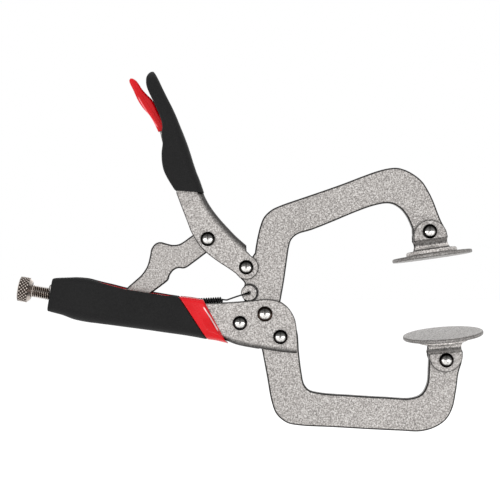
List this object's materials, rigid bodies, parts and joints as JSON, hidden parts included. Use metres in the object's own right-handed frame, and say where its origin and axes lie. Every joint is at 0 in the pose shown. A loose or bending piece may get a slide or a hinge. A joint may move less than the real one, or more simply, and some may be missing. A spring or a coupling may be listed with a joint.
{
  "type": "locking c clamp",
  "caption": "Locking C clamp: toggle-action handle and lever, deep C-shaped jaws with swivel pads, adjusting screw, release lever and rubber grips.",
  "frame": {"origin": "where the hand holds the tool: the middle of the fixed handle's grip, in the tool's mid-plane", "axes": "+X from the adjusting screw towards the jaws, +Z from the fixed handle up to the lever, Y across the tool, which is symmetric about Y = 0 except for its tilted pads"},
  "size_m": [0.2333, 0.0413, 0.1796],
  "materials": {
    "nickel_steel": "satin nickel plate with a fine speckled grain",
    "polished_rivet": "polished",
    "screw_nickel": "bright, slightly warm nickel plate",
    "spring_steel": "dark oiled spring wire",
    "black_rubber": "matte with a fine texture",
    "red_plastic": "glossy"
  },
  "bodies": {
    "handle": {"fixed_handle": "nickel_steel", "lower_grip": "black_rubber", "grip_liner": "red_plastic", "fixed_jaw": "nickel_steel", "fixed_jaw_rivet_rear": "polished_rivet", "fixed_jaw_rivet_front": "polished_rivet", "jaw_pivot_rivet": "polished_rivet", "spring_anchor_pin": "polished_rivet", "return_spring": "spring_steel"},
    "movable_jaw": {"movable_jaw": "nickel_steel"},
    "lever": {"lever": "nickel_steel", "lever_grip": "black_rubber", "lever_pivot_rivet": "polished_rivet", "link_pivot_rivet": "polished_rivet", "release_pin": "polished_rivet"},
    "toggle_link": {"toggle_link": "nickel_steel"},
    "release_lever": {"release_lever": "nickel_steel", "release_lever_sleeve": "red_plastic"},
    "screw_tip": {"screw_thrust_cap": "screw_nickel"},
    "screw": {"adjusting_screw": "screw_nickel"},
    "upper_rivet": {"upper_pad_rivet": "polished_rivet"},
    "upper_pad": {"upper_pad_bracket": "nickel_steel", "upper_pad_disc": "nickel_steel"},
    "lower_rivet": {"lower_pad_rivet": "polished_rivet"},
    "lower_pad": {"lower_pad_bracket": "nickel_steel", "lower_pad_disc": "nickel_steel"}
  },
  "joints": [
    {"name": "jaw_swing", "type": "hinge", "parent": "handle", "child": "movable_jaw", "pos_m": [0.0684, 0, -0.0038], "axis": [0, 1, 0], "range_deg": [0, 19.3]},
    {"name": "lever_squeeze", "type": "hinge", "parent": "movable_jaw", "child": "lever", "pos_m": [0.0591, 0, 0.0194], "axis": [0, -1, 0], "range_deg": [0, 40], "stiffness_Nm_per_rad": 0.3, "springref_deg": -28.65, "deforming": ["return_spring"]},
    {"name": "link_swing", "type": "hinge", "parent": "lever", "child": "toggle_link", "pos_m": [0.04, 0, 0.0335], "axis": [0, 1, 0], "range_deg": [0, 28.4]},
    {"name": "release_press", "type": "hinge", "parent": "lever", "child": "release_lever", "pos_m": [0.0222, 0, 0.0745], "axis": [0, 1, 0], "range_deg": [0, 5]},
    {"name": "screw_travel", "type": "slide", "parent": "handle", "child": "screw_tip", "axis": [-0.9842, 0, 0.1772], "range_m": [0, 0.012]},
    {"name": "screw_turn", "type": "hinge", "parent": "screw_tip", "child": "screw", "pos_m": [-0.0553, 0, 0.00895], "axis": [-0.9842, 0, 0.1772], "range_deg": [0, 4322]},
    {"name": "upper_pad_swivel", "type": "hinge", "parent": "movable_jaw", "child": "upper_rivet", "pos_m": [0.1503, 0, 0.0373], "axis": [0, -1, 0], "range_deg": [-12, 20]},
    {"name": "upper_pad_rock", "type": "hinge", "parent": "upper_rivet", "child": "upper_pad", "pos_m": [0.1503, 0, 0.0373], "axis": [-0.9903, 0, -0.1392], "range_deg": [-9, 3.8]},
    {"name": "lower_pad_swivel", "type": "hinge", "parent": "handle", "child": "lower_rivet", "pos_m": [0.1585, 0, -0.0267], "axis": [0, -1, 0], "range_deg": [-15, 12]},
    {"name": "lower_pad_rock", "type": "hinge", "parent": "lower_rivet", "child": "lower_pad", "pos_m": [0.1585, 0, -0.0267], "axis": [0.9959, 0, 0.0906], "range_deg": [-12.8, 0]}
  ],
  "couplings": [
    {"joint": "jaw_swing", "follows": "lever_squeeze", "ratio": 0.4794},
    {"joint": "link_swing", "follows": "lever_squeeze", "ratio": 0.7049},
    {"joint": "screw_turn", "follows": "screw_travel", "rad_per_m": 6283.2}
  ]
}
